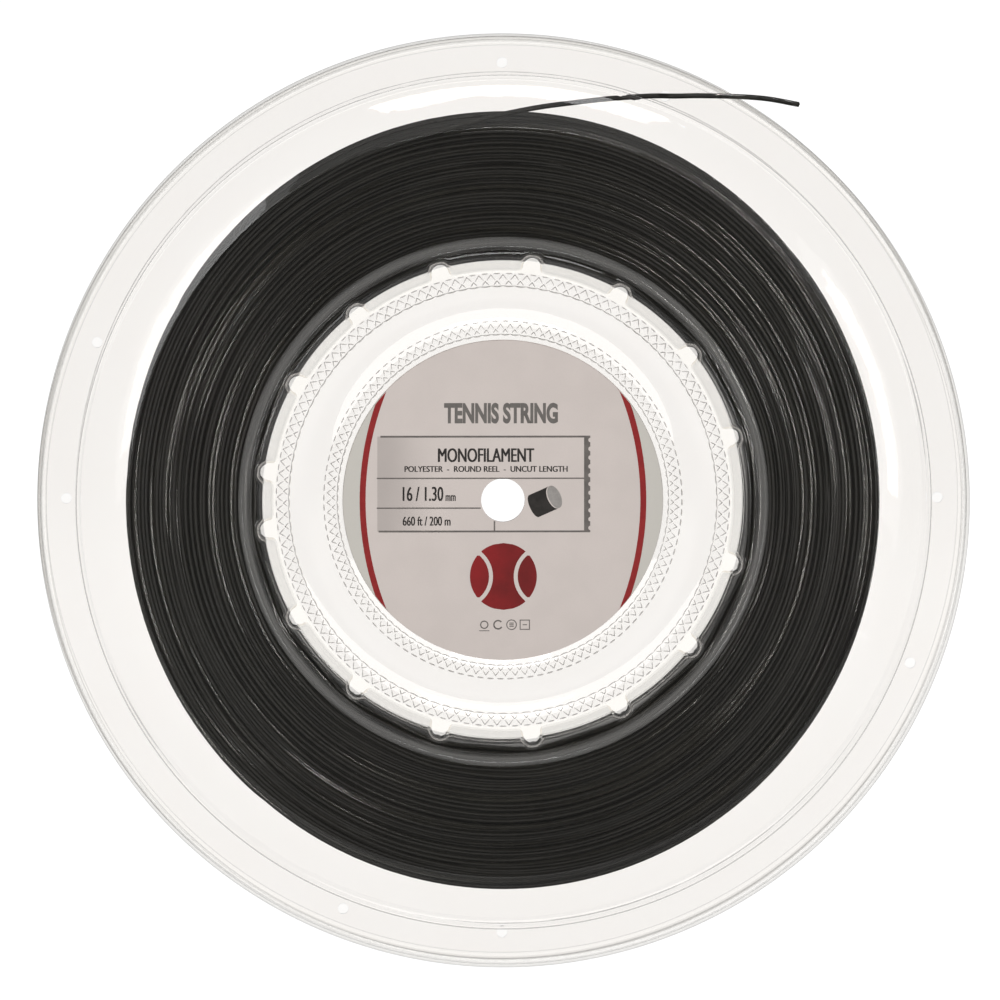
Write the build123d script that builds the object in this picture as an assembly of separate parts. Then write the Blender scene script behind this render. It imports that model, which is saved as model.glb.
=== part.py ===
"""Reel of racket string: two thin formed shells welded back to back, two round paper labels,
the wound string and its free end.

The spindle axis is Y, the front of the reel faces -Y and the reel stands on its rim with +Z up.
Shell profiles are drawn as (radius, distance from the middle plane).
"""

import os
from math import atan2, cos, hypot, radians, sin, tan

from build123d import *

# Formed sheet
SHEET = 0.8
RIM_RADIUS = 128.0
SPINDLE_HOLE = 12.0

# Hub
WALL_FOOT = 63.7           # channel side of the hub wall at the middle plane
WALL_TOP = 66.5            # channel side of the hub wall at the flange
CHANNEL_HALF = 9.0         # half the width between the flanges
RIB_TIP = 68.0             # how far the hub ribs reach into the channel
RIB_HALF_WIDTH = 3.1
RIB_FIRST = 15.5           # angle of the first rib above the horizontal
RIB_PITCH = 22.5
RIBS_PER_HALF = 8
RIB_FOOT_FILLET = 1.2
WALL_THINNING = 0.2        # the deep drawn wall is this much thinner than the sheet

# Flange, flare and rim
BEAD_RADIUS = 71.0
BEAD_HEIGHT = 0.45
FLARE_START = 103.0
FLARE_MIDDLE = 109.0
FLARE_END = 115.0
FLARE_SLOPES = (17.5, 7.6)  # degrees, at its inner and outer edge
STEP_RADIUS = 116.2
STEP_WIDTH = 1.1
RIM_DEPTH = 12.45
LIP_DEPTH = 10.55
LIP_BEND = 1.4

# Weld rings pressed into the web, as (inner radius, outer radius)
WELD_RINGS = ((45.2, 49.5), (58.6, 62.5))
WELD_DEPTH = 0.12

# Tie holes in the flat rim band
TIE_HOLE = 3.0
TIE_CIRCLE = 120.0
TIE_COUNT = 4
FRONT_TIE_ANGLE = 68.4
REAR_TIE_ANGLE = 0.0

# Labels
LABEL_DIAMETER = 88.0
LABEL_THICKNESS = 0.2

# String
STRING = 1.3
COIL_CLEARANCE = 0.3       # between the winding and the hub
COIL_ACROSS = 103.4        # outer radius of the winding along X
COIL_UP = 107.0            # outer radius of the winding along Z
COIL_HALF = 8.3
COIL_EDGE = 4.0            # rounding of its outer edges
TIE_X = TIE_CIRCLE * cos(radians(FRONT_TIE_ANGLE))
TIE_Z = TIE_CIRCLE * sin(radians(FRONT_TIE_ANGLE))
RIM_FACE = RIM_DEPTH + SHEET
TAIL_DEPTH = RIM_FACE + STRING / 2 + 0.15
TAIL_PIVOT_X = TIE_X + 3.6
TAIL_GAP = 0.05


def sheet_line():
    """Corners of the channel side of the flange, from hub wall to rim lip, with bend radii."""
    middle_depth = CHANNEL_HALF + (FLARE_MIDDLE - FLARE_START) * tan(radians(FLARE_SLOPES[0]))
    land_depth = middle_depth + (FLARE_END - FLARE_MIDDLE) * tan(radians(FLARE_SLOPES[1]))
    corners = [
        (WALL_FOOT, 0, 0),
        (WALL_TOP, CHANNEL_HALF, 1.7),
        (BEAD_RADIUS - 1.7, CHANNEL_HALF, 0.9),
        (BEAD_RADIUS - 0.8, CHANNEL_HALF + BEAD_HEIGHT, 0.9),
        (BEAD_RADIUS + 0.8, CHANNEL_HALF + BEAD_HEIGHT, 0.9),
        (BEAD_RADIUS + 1.7, CHANNEL_HALF, 0.9),
        (FLARE_START, CHANNEL_HALF, 2.0),
        (FLARE_MIDDLE, middle_depth, 67.0),
        (FLARE_END, land_depth, 3.0),
        (STEP_RADIUS, land_depth, 0.9),
        (STEP_RADIUS + STEP_WIDTH, RIM_DEPTH, 0.9),
        (RIM_RADIUS - SHEET, RIM_DEPTH, LIP_BEND),
        (RIM_RADIUS - SHEET, LIP_DEPTH, 0),
    ]
    return corners


def offset_corner(before, here, after, distance):
    """Corner moved sideways so that both straight runs move out by the sheet thickness."""
    first = (here[0] - before[0], here[1] - before[1])
    second = (after[0] - here[0], after[1] - here[1])
    length_1 = hypot(*first)
    length_2 = hypot(*second)
    normal_1 = (-first[1] / length_1, first[0] / length_1)
    normal_2 = (-second[1] / length_2, second[0] / length_2)
    spread = 1 + normal_1[0] * normal_2[0] + normal_1[1] * normal_2[1]
    across = (normal_1[0] + normal_2[0]) * distance / spread
    along = (normal_1[1] + normal_2[1]) * distance / spread
    turn = first[0] * second[1] - first[1] * second[0]
    bend = here[2] - distance if turn > 0 else here[2] + distance
    return (here[0] + across, here[1] + along, bend)


def outer_line(corners, distance):
    """The same line offset to the outside face of the sheet."""
    start_run = (corners[1][0] - corners[0][0], corners[1][1] - corners[0][1])
    start_length = hypot(*start_run)
    start = (
        corners[0][0] - start_run[1] / start_length * distance,
        corners[0][1] + start_run[0] / start_length * distance,
        0,
    )
    end = (corners[-1][0] + distance, corners[-1][1], 0)
    middle = []
    for index in range(1, len(corners) - 1):
        moved = offset_corner(*corners[index - 1:index + 2], distance)
        middle.append(moved)
    return [start, *middle, end]


def rounded(corners):
    """Polyline through the corners with its bends."""
    points = [(radius, -depth) for radius, depth, _ in corners]
    bends = [bend for _, _, bend in corners[1:-1]]
    return FilletPolyline(*points, radius=bends)


def formed_flange():
    """Hub wall, bead, flange, flare, flat band and rolled lip as one revolved sheet."""
    inside = rounded(sheet_line())
    outside = rounded(outer_line(sheet_line(), SHEET))
    closing = [Line(inside @ 0, outside @ 0), Line(inside @ 1, outside @ 1)]
    section = make_face([*inside.edges(), *outside.edges(), *closing])
    return revolve(section, Axis.Y, 360)


def rib_angles():
    """Ribs are spaced evenly in each half and mirrored about the horizontal."""
    angles = []
    for side in (1, -1):
        for index in range(RIBS_PER_HALF):
            angles.append(side * (RIB_FIRST + index * RIB_PITCH))
    return angles


def ribbed_plug(foot, half_width, tip, start, height, fillet_radius):
    """Tapered plug carrying the half-round ribs, from depth start towards the front."""
    slope = (WALL_TOP - WALL_FOOT) / CHANNEL_HALF
    low = foot + slope * start
    high = foot + slope * (start + height)
    corners = [(0, -start), (low, -start), (high, -start - height), (0, -start - height)]
    plug = revolve(make_face(Polyline(*corners, close=True)), Axis.Y, 360)
    centre = tip - half_width
    rib = Pos(centre, 0) * Circle(half_width) + Pos(centre - 10, 0) * Rectangle(20, 2 * half_width)
    for angle in rib_angles():
        outward = (cos(radians(angle)), 0, sin(radians(angle)))
        plane = Plane(origin=(0, -start, 0), x_dir=outward, z_dir=(0, -1, 0))
        plug += extrude(plane * rib, height)
    feet = []
    for edge in plug.edges():
        if edge.geom_type != GeomType.LINE and edge.bounding_box().size.Y > 1:
            feet.append(edge)
    return fillet(feet, fillet_radius)


def ring(inner, outer, start, height):
    """Flat ring from depth start towards the front."""
    base = Plane(origin=(0, -start, 0), x_dir=(1, 0, 0), z_dir=(0, -1, 0))
    return extrude(base * (Circle(outer) - Circle(inner)), height)


def hole_cutters(first_angle):
    """Drills for the tie holes around the flat rim band."""
    cutters = []
    for index in range(TIE_COUNT):
        angle = radians(first_angle + index * 360 / TIE_COUNT)
        spot = (TIE_CIRCLE * cos(angle), -RIM_DEPTH, TIE_CIRCLE * sin(angle))
        cutters.append(Pos(*spot) * Rot(90, 0, 0) * Cylinder(TIE_HOLE / 2, 6))
    return cutters


def formed_half():
    """Front half of the reel before drilling: web, hub wall with ribs, flange and rim."""
    slope = atan2(WALL_TOP - WALL_FOOT, CHANNEL_HALF)
    inner_foot = WALL_FOOT - SHEET / cos(slope) + WALL_THINNING
    outside = ribbed_plug(
        WALL_FOOT - WALL_THINNING, RIB_HALF_WIDTH, RIB_TIP, 0, CHANNEL_HALF + 0.3, RIB_FOOT_FILLET
    )
    inside = ribbed_plug(
        inner_foot, RIB_HALF_WIDTH - SHEET, RIB_TIP - SHEET, SHEET, CHANNEL_HALF + 3,
        RIB_FOOT_FILLET + SHEET,
    )
    body = formed_flange() + outside - inside
    for inner, outer in WELD_RINGS:
        body -= ring(inner, outer, SHEET - WELD_DEPTH, 1)
    return body - Rot(90, 0, 0) * Cylinder(SPINDLE_HOLE / 2, 10)


def drilled(half, first_tie_angle):
    """The formed half with its tie holes."""
    for cutter in hole_cutters(first_tie_angle):
        half -= cutter
    return half


def label():
    """Paper disc on the front web."""
    return ring(SPINDLE_HOLE / 2, LABEL_DIAMETER / 2, SHEET, LABEL_THICKNESS)


def lead_path():
    """String from the winding, behind the front flange and out through its tie hole."""
    ahead = (cos(radians(50)), -sin(radians(50)), 0)
    middle = -(RIM_DEPTH + SHEET / 2)
    start = (TIE_X - 50, -5.6, TIE_Z - 7.2)
    across = (TIE_X - 14, middle + 2.6, TIE_Z - 1.3)
    hole = (TIE_X, middle, TIE_Z)
    end = (TAIL_PIVOT_X - STRING / 2 - TAIL_GAP, -TAIL_DEPTH, TIE_Z)
    run_in = Spline(start, across, hole, tangents=[(1, -0.02, 0.15), ahead])
    run_out = Spline(hole, end, tangents=[ahead, (1, 0, 0)])
    return Wire([run_in.edge(), run_out.edge()])


def swept(path):
    """Round string along a path."""
    start = Plane(origin=path @ 0, z_dir=path % 0)
    return sweep(start * Circle(STRING / 2), path=path)


def coil_rims(body):
    """Outer edges of the two end faces of the winding."""
    rims = []
    for edge in body.edges():
        size = edge.bounding_box().size
        if size.Y < 0.01 and abs(size.X - 2 * COIL_ACROSS) < 0.1:
            rims.append(edge)
    return rims


def hub_room():
    """Space the winding leaves for the ribbed hub of both shells."""
    plug = ribbed_plug(
        WALL_FOOT + COIL_CLEARANCE, RIB_HALF_WIDTH + COIL_CLEARANCE, RIB_TIP + COIL_CLEARANCE,
        0, CHANNEL_HALF, RIB_FOOT_FILLET - COIL_CLEARANCE,
    )
    return plug + mirror(plug, about=Plane.XZ)


def coil():
    """Wound string as one ring, slightly deeper above and below, with its lead."""
    middle = Plane(origin=(0, 0, 0), x_dir=(1, 0, 0), z_dir=(0, -1, 0))
    body = extrude(middle * Ellipse(COIL_ACROSS, COIL_UP), COIL_HALF, both=True)
    body = fillet(coil_rims(body), COIL_EDGE)
    return body - hub_room() + swept(lead_path())


def free_end():
    """End of the string beyond the tie hole, lying over the rim, with a round root."""
    depth = -TAIL_DEPTH
    points = [
        (TAIL_PIVOT_X, depth, TIE_Z),
        (TIE_X + 9, depth, TIE_Z - 0.1),
        (TIE_X + 21, depth - 0.3, TIE_Z - 0.6),
        (TIE_X + 29, depth - 0.6, TIE_Z - 1.0),
        (TIE_X + 37, depth - 1.0, TIE_Z - 2.7),
    ]
    path = Wire([Spline(*points, tangents=[(1, 0, 0), (1, -0.05, -0.35)]).edge()])
    return swept(path) + Pos(*points[0]) * Sphere(STRING / 2)


def main():
    """Write one STEP file for each piece."""
    os.makedirs("parts", exist_ok=True)
    half = formed_half()
    pieces = {
        "front_shell": drilled(half, FRONT_TIE_ANGLE),
        "rear_shell": mirror(drilled(half, REAR_TIE_ANGLE), about=Plane.XZ),
        "front_label": label(),
        "rear_label": mirror(label(), about=Plane.XZ),
        "string_coil": coil(),
        "string_tail": free_end(),
    }
    for name, piece in pieces.items():
        export_step(piece, f"parts/{name}.step")


main()
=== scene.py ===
import math
import random

import bmesh
import bpy
import numpy as np
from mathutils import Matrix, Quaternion, Vector


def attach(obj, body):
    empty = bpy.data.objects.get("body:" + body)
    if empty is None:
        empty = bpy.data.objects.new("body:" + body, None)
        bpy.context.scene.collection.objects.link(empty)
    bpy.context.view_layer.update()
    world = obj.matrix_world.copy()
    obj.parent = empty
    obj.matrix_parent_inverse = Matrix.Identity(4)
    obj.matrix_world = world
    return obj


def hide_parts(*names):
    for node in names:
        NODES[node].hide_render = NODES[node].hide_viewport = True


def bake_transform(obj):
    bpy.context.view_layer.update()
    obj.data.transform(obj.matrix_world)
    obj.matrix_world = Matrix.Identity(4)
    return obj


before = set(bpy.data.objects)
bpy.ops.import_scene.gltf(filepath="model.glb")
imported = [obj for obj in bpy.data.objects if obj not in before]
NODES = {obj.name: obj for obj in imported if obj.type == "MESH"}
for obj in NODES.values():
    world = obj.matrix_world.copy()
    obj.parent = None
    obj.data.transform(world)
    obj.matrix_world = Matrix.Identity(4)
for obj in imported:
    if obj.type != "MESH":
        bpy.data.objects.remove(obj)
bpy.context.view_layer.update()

MM = 0.001

# Sizes of the reel, in millimetres
RIM_RADIUS = 128.0
BORE_RADIUS = 6.0
LABEL_FACE = 1.0
LABEL_RADIUS = 44.0
ARC_RADIUS = 82.0           # of the arcs down the sides of the label
GROOVE_FACE = 0.68
STRING_RADIUS = 0.65
COIL_ACROSS = 103.4
COIL_UP = 107.0
TIE_CIRCLE = 120.0
TIE_ANGLES = {"front": 68.4, "rear": 0.0}
TIE_X = TIE_CIRCLE * math.cos(math.radians(TIE_ANGLES["front"]))
TIE_Z = TIE_CIRCLE * math.sin(math.radians(TIE_ANGLES["front"]))
TAIL_DEPTH = 14.05
RIB_ANGLES = [side * (15.5 + 22.5 * k) for side in (1, -1) for k in range(8)]

# Ranges of radius over which the look of the clear sheet changes
HUB_FOOT = (62.2, 62.9)
HUB_WALL = (65.9, 66.3)
HUB_TOP = (68.6, 69.6)
BEAD_START = (69.8, 70.7)
BEAD_END = (71.6, 73.0)
STEP_START = (115.6, 116.0)
RIM_CALM = (122.0, 124.0)
LIP_START = (125.5, 125.8)
LIP_EDGE = (126.5, 127.0)

# Painted shade in lines at the bends and over the rib tips: radius, half width, half width with the soft
# edge, share of light left
PAINTED_SHADE_LINES = ((67.4, 1.0, 1.3, 0.87), (117.35, 0.06, 0.20, 0.58), (125.6, 0.06, 0.20, 0.84))


# ---------------------------------------------------------------- materials

def new_material(name):
    material = bpy.data.materials.new(name)
    material.use_nodes = True
    material.node_tree.nodes.clear()
    return material, material.node_tree


def add(tree, kind, inputs=None, **settings):
    """New shader node; inputs maps socket names or numbers to values or output sockets."""
    made = tree.nodes.new(kind)
    for key, value in settings.items():
        setattr(made, key, value)
    for key, value in (inputs or {}).items():
        socket = made.inputs[key]
        if isinstance(value, bpy.types.NodeSocket):
            tree.links.new(value, socket)
        elif isinstance(value, tuple) and len(value) == 3 and socket.type == "RGBA":
            socket.default_value = (*value, 1.0)
        else:
            socket.default_value = value
    return made


def maths(tree, operation, first, second=0.0, third=0.0):
    return add(tree, "ShaderNodeMath", {0: first, 1: second, 2: third}, operation=operation).outputs[0]


def product(tree, first, *others):
    for other in others:
        first = maths(tree, "MULTIPLY", first, other)
    return first


def grey(tree, value):
    """The same value in all three channels."""
    return add(tree, "ShaderNodeCombineXYZ", {0: value, 1: value, 2: value}).outputs[0]


def split(tree, vector):
    """Coordinates of a vector as separate sockets."""
    return tuple(add(tree, "ShaderNodeSeparateXYZ", {0: vector}).outputs)


def between(tree, value, low, high, to_low=0.0, to_high=1.0):
    """Smooth step from to_low, where value is low, to to_high, where it is high."""
    inputs = {0: value, 1: low, 2: high, 3: to_low, 4: to_high}
    return add(tree, "ShaderNodeMapRange", inputs, interpolation_type="SMOOTHSTEP").outputs[0]


def mixed(tree, factor, first, second, blend="MIX"):
    made = add(tree, "ShaderNodeMix", data_type="RGBA", blend_type=blend)
    for socket, value in ((made.inputs[0], factor), (made.inputs[6], first), (made.inputs[7], second)):
        if isinstance(value, bpy.types.NodeSocket):
            tree.links.new(value, socket)
        elif isinstance(value, tuple):
            socket.default_value = (*value, 1.0)
        else:
            socket.default_value = value
    return made.outputs[2]


def position_mm(tree):
    """Point in the reel's frame, in millimetres."""
    place = add(tree, "ShaderNodeNewGeometry").outputs["Position"]
    return add(tree, "ShaderNodeVectorMath", {0: place, "Scale": 1000.0}, operation="SCALE").outputs[0]


def around_axis(tree, point):
    """Distance from the axis, and a function that gives seamless noise coordinates round it."""
    x, y, z = split(tree, point)
    radius = maths(tree, "SQRT", maths(tree, "ADD", product(tree, x, x), product(tree, z, z)))

    def ring_coordinates(turns):
        share = maths(tree, "DIVIDE", turns, maths(tree, "MAXIMUM", radius, 1.0))
        depth = maths(tree, "ADD", radius, product(tree, y, 0.83))
        parts = {0: product(tree, x, share), 1: product(tree, z, share), 2: depth}
        return add(tree, "ShaderNodeCombineXYZ", parts).outputs[0]

    return radius, ring_coordinates


def noise(tree, vector, scale, detail=3.0, roughness=0.5):
    inputs = {"Vector": vector, "Scale": scale, "Detail": detail, "Roughness": roughness}
    return add(tree, "ShaderNodeTexNoise", inputs).outputs["Fac"]


def finish_material(tree, shader):
    add(tree, "ShaderNodeOutputMaterial", {0: shader})


def bump(tree, strength, distance, height):
    inputs = {"Strength": strength, "Distance": distance, "Height": height}
    return add(tree, "ShaderNodeBump", inputs).outputs[0]


def painted_bend_shade(tree, radius):
    """Painted shade: share of light left where the sheet stands steep to the view axis, and in lines at the
    bends and over the rib tips.
    """
    normal = add(tree, "ShaderNodeNewGeometry").outputs["Normal"]
    facing_out = maths(tree, "ABSOLUTE", split(tree, normal)[1])
    leaning = between(tree, facing_out, 0.70, 0.95, 0.86, 1.0)
    upright = between(tree, facing_out, 0.15, 0.55, 0.58, 1.0)
    inside_step = between(tree, radius, *STEP_START, 1.0, 0.0)
    shade = maths(tree, "MAXIMUM", product(tree, leaning, upright), inside_step)
    for line, core, edge, strength in PAINTED_SHADE_LINES:
        away = maths(tree, "ABSOLUTE", maths(tree, "SUBTRACT", radius, line))
        shade = product(tree, shade, between(tree, away, core, edge, strength, 1.0))
    return grey(tree, shade)


def straight_share(tree, radius, least):
    """Share of light that goes straight through, most of it at the hub wall and the rolled lip."""
    lip_start = between(tree, radius, *LIP_START, 0.0, 0.50)
    lip = maths(tree, "MAXIMUM", lip_start, between(tree, radius, *LIP_EDGE, 0.0, 0.82))
    wall = product(
        tree, between(tree, radius, *HUB_FOOT), between(tree, radius, *HUB_WALL, 0.90, 0.05),
        between(tree, radius, *HUB_TOP, 1.0, 0.0),
    )
    return maths(tree, "MAXIMUM", maths(tree, "MAXIMUM", lip, wall), least)


def clear_material(name, tint, wave=0.05, straight=0.0):
    """Clear formed sheet: slightly grey, faintly wavy, with drawn streaks round the axis, and painted shade
    where it stands steep and in lines at its bends.

    A sheet mirrored inside another sheet is replaced by a dim glow, and a thin matt layer over the bead
    paints its grey reflection.
    """
    material, tree = new_material(name)
    point = position_mm(tree)
    radius, ring_coordinates = around_axis(tree, point)
    streaks = noise(tree, ring_coordinates(4.0), 0.9, 4.0, 0.6)
    soft = noise(tree, point, 0.06, 2.0)
    scuffs = noise(tree, point, 0.55, 6.0, 0.7)
    height = maths(tree, "ADD", soft, product(tree, streaks, 0.06))
    waves = bump(tree, between(tree, radius, *RIM_CALM, wave, 0.2 * wave), 0.002, height)
    # Painted shade where the sheet stands steep and along its bends, multiplied into the sheet's colour and
    # into the light passing straight through
    painted_shade = painted_bend_shade(tree, radius)
    shade = mixed(tree, between(tree, soft, 0.35, 0.65), tint[0], tint[1])
    glass = add(tree, "ShaderNodeBsdfPrincipled", {
        "Base Color": mixed(tree, 1.0, shade, painted_shade, "MULTIPLY"),
        "Roughness": between(tree, scuffs, 0.45, 0.8, 0.015, 0.06),
        "IOR": 1.5, "Transmission Weight": 1.0, "Normal": waves,
    }).outputs[0]
    passed = mixed(tree, 1.0, (0.985, 0.978, 0.966), painted_shade, "MULTIPLY")
    through = add(tree, "ShaderNodeBsdfTransparent", {0: passed}).outputs[0]
    path = add(tree, "ShaderNodeLightPath").outputs
    factor = maths(tree, "MAXIMUM", path["Is Shadow Ray"], straight_share(tree, radius, straight))
    clear = add(tree, "ShaderNodeMixShader", {0: factor, 1: glass, 2: through}).outputs[0]
    dim = add(tree, "ShaderNodeEmission", {"Color": (1.0, 1.0, 1.0), "Strength": 0.03}).outputs[0]
    within = maths(tree, "GREATER_THAN", path["Transmission Depth"], 1.5)
    turned = maths(tree, "SUBTRACT", path["Is Glossy Ray"], path["Is Transmission Ray"])
    mirrored = product(tree, maths(tree, "GREATER_THAN", turned, 0.5), within)
    shaded = add(tree, "ShaderNodeMixShader", {0: mirrored, 1: clear, 2: dim}).outputs[0]
    # Thin matt layer over the bead: painted reflection, the grey band that the bead shows over the coil
    bead_reflection_share = product(
        tree, between(tree, radius, *BEAD_START, 0.0, 0.03), between(tree, radius, *BEAD_END, 1.0, 0.0)
    )
    painted_bead_reflection = add(tree, "ShaderNodeBsdfDiffuse", {"Color": (0.80, 0.79, 0.77)}).outputs[0]
    finish_material(tree, add(tree, "ShaderNodeMixShader", {0: bead_reflection_share, 1: shaded, 2: painted_bead_reflection}).outputs[0])
    return material


def string_material(name, base, sheen):
    """Extruded polyester: dark, with fine drawing marks, some turns glossy and most of them dull."""
    material, tree = new_material(name)
    _, ring_coordinates = around_axis(tree, position_mm(tree))
    polar = ring_coordinates(9.0)
    marks = noise(tree, polar, 2.6, 4.0, 0.65)
    patches = noise(tree, polar, 0.5, 2.0)
    turns = noise(tree, ring_coordinates(1.4), 0.55, 1.0)
    polish = between(tree, turns, 0.38, 0.50, *sheen)
    surface = add(tree, "ShaderNodeBsdfPrincipled", {
        "Base Color": mixed(tree, between(tree, patches, 0.3, 0.7), *base),
        "Roughness": maths(tree, "ADD", polish, between(tree, marks, 0.3, 0.75, -0.01, 0.03)),
        "IOR": 1.5, "Specular Tint": (1.0, 0.995, 0.985),
        "Specular IOR Level": between(tree, turns, 0.36, 0.44, 0.6, 0.05),
        "Normal": bump(tree, 0.06, 0.0001, marks),
    })
    finish_material(tree, surface.outputs[0])
    return material


def label_material(name):
    """Satin printed paper: warm grey centre, cooler side segments and shaded information rows."""
    material, tree = new_material(name)
    point = position_mm(tree)
    x, y, z = split(tree, point)
    across = product(tree, x, maths(tree, "MULTIPLY", maths(tree, "SIGN", y), -1.0))
    fibre = noise(tree, point, 3.2, 6.0, 0.7)
    mottle = between(tree, noise(tree, point, 0.09, 3.0), 0.3, 0.7)
    centre = mixed(tree, mottle, (0.775, 0.692, 0.648), (0.745, 0.665, 0.622))
    bulge = product(tree, z, z, -1 / (2 * ARC_RADIUS))
    beyond = maths(tree, "SUBTRACT", maths(tree, "ABSOLUTE", across), maths(tree, "ADD", 38.3, bulge))
    ground = mixed(tree, between(tree, beyond, -0.1, 0.1), centre, (0.70, 0.668, 0.61))
    shadow = grey(tree, between(tree, across, -34.5, -17.0, 0.74, 1.0))
    rows = product(
        tree, between(tree, z, -8.7, -8.6), between(tree, z, 17.6, 17.5),
        between(tree, across, -34.6, -34.5), between(tree, across, 23.9, 23.8),
    )
    shaded = mixed(tree, rows, ground, mixed(tree, 1.0, ground, shadow, "MULTIPLY"))
    surface = add(tree, "ShaderNodeBsdfPrincipled", {
        "Base Color": mixed(tree, between(tree, fibre, 0.35, 0.75, 0.0, 0.10), shaded, (0.5, 0.46, 0.43)),
        "Roughness": between(tree, fibre, 0.2, 0.8, 0.38, 0.55), "Normal": bump(tree, 0.10, 0.0001, fibre),
    })
    finish_material(tree, surface.outputs[0])
    return material


def ink_material(name, first, second, scale=0.5):
    """Printed ink with slightly uneven coverage over the paper fibre."""
    material, tree = new_material(name)
    point = position_mm(tree)
    cover = noise(tree, point, scale, 5.0, 0.6)
    fine = noise(tree, point, 6.0, 3.0, 0.6)
    tone = mixed(tree, between(tree, cover, 0.3, 0.7), first, second)
    lifted = tuple(min(1.0, c * 1.35 + 0.01) for c in second)
    surface = add(tree, "ShaderNodeBsdfPrincipled", {
        "Base Color": mixed(tree, between(tree, fine, 0.55, 0.8, 0.0, 0.5), tone, lifted),
        "Roughness": between(tree, fine, 0.2, 0.8, 0.3, 0.5), "Normal": bump(tree, 0.08, 0.0001, fine),
    })
    finish_material(tree, surface.outputs[0])
    return material


# ---------------------------------------------------------------- mesh tools

def piece(name, points, faces, material, smooth=True):
    """Mesh object from points in millimetres."""
    mesh = bpy.data.meshes.new(name)
    points = np.asarray(points, float) * MM
    if isinstance(faces, np.ndarray):
        mesh.vertices.add(len(points))
        mesh.vertices.foreach_set("co", points.ravel())
        width = faces.shape[1]
        mesh.loops.add(faces.size)
        mesh.loops.foreach_set("vertex_index", faces.ravel().astype(np.int32))
        mesh.polygons.add(len(faces))
        mesh.polygons.foreach_set("loop_start", np.arange(0, faces.size, width, dtype=np.int32))
        mesh.update(calc_edges=True)
    else:
        mesh.from_pydata([tuple(p) for p in points], [], [list(f) for f in faces])
    mesh.validate()
    turned = bmesh.new()
    turned.from_mesh(mesh)
    if turned.calc_volume(signed=True) < 0:
        mesh.flip_normals()
    turned.free()
    for polygon in mesh.polygons:
        polygon.use_smooth = smooth
    mesh.materials.append(material)
    made = bpy.data.objects.new(name, mesh)
    bpy.context.scene.collection.objects.link(made)
    return made


def unit(vectors):
    return vectors / np.linalg.norm(vectors, axis=-1, keepdims=True)


def tube(path, radius, sides, reference, closed):
    """Round tube along a path: points and four-sided faces, with rounded end caps if it is open."""
    if closed:
        along = np.roll(path, -1, 0) - np.roll(path, 1, 0)
    else:
        along = np.gradient(path, axis=0)
    along = unit(along)
    side = unit(reference - (reference * along).sum(1, keepdims=True) * along)
    up = np.cross(along, side)
    turn = np.arange(sides) / sides * 2 * math.pi
    cosine, sine = np.cos(turn)[None, :, None], np.sin(turn)[None, :, None]
    rings = path[:, None, :] + radius * (cosine * side[:, None, :] + sine * up[:, None, :])
    if not closed:
        ends = []
        for index, sign in ((0, -1), (-1, 1)):
            spread = rings[index] - path[index]
            for share, reach in ((0.02, 0.45), (0.55, 0.35)):
                ends.append(path[index] + share * spread + sign * reach * radius * along[index])
        rings = np.concatenate([[ends[0], ends[1]], rings, [ends[3], ends[2]]])
    count = len(rings)
    steps = count if closed else count - 1
    row = np.arange(steps)[:, None]
    col = np.arange(sides)[None, :]
    over = (col + 1) % sides
    ahead = (row + 1) % count
    corners = [row * sides + col, row * sides + over, ahead * sides + over, ahead * sides + col]
    faces = np.stack(corners, -1).reshape(-1, 4)
    points = rings.reshape(-1, 3)
    if not closed:
        end = (count - 1) * sides
        caps = []
        for index in range(1, sides - 2, 2):
            caps.append((0, index + 2 if index + 2 < sides else 0, index + 1, index))
            caps.append((end, end + index, end + index + 1, end + index + 2))
        faces = np.concatenate([faces, np.array(caps)])
    return points, faces


def gather(parts):
    """Joins arrays of points and four-sided faces into one pair."""
    points = []
    faces = []
    offset = 0
    for some_points, some_faces in parts:
        points.append(some_points)
        faces.append(some_faces + offset)
        offset += len(some_points)
    return np.concatenate(points), np.concatenate(faces)


def smooth_path(points, step):
    """Evenly sampled curve through points, with chord-length Catmull-Rom tangents."""
    points = np.asarray(points, float)
    ends = np.concatenate([[2 * points[0] - points[1]], points, [2 * points[-1] - points[-2]]])
    lengths = np.linalg.norm(np.diff(ends, axis=0), axis=1)
    made = []
    for index in range(1, len(ends) - 2):
        before, chord, after = lengths[index - 1], lengths[index], lengths[index + 1]
        first = (ends[index + 1] - ends[index - 1]) / (before + chord) * chord
        second = (ends[index + 2] - ends[index]) / (chord + after) * chord
        count = max(2, int(chord / step))
        t = np.linspace(0, 1, count, endpoint=False)[:, None]
        made.append(
            (2 * t**3 - 3 * t**2 + 1) * ends[index] + (t**3 - 2 * t**2 + t) * first
            + (-2 * t**3 + 3 * t**2) * ends[index + 1] + (t**3 - t**2) * second
        )
    made.append(points[-1:])
    return np.concatenate(made)


# ---------------------------------------------------------------- winding

# A turn's place is its run, measured from the hub up the front, round the outside and down the rear.
COIL_FACE = 7.6             # depth of the string centres against the flange
CORNER = 3.35               # radius of the bend between side and outside
CORNER_DEPTH = 4.3          # depth where that bend meets the outside
FIRST_TURN = 68.75          # radius of the turn next to the hub
SIDE_RUN = 32.3             # run from the hub to the bend
HALF_RUN = SIDE_RUN + CORNER * math.pi / 2 + CORNER_DEPTH
PITCH = 1.27                # run from one turn to the next
CORE_BORE = 66.0            # least radius of the core's inside


def coil_edge(theta):
    """Outer radius of the winding, which is an ellipse."""
    across = COIL_UP * np.cos(theta)
    return COIL_ACROSS * COIL_UP / np.hypot(across, COIL_ACROSS * np.sin(theta))


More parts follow.
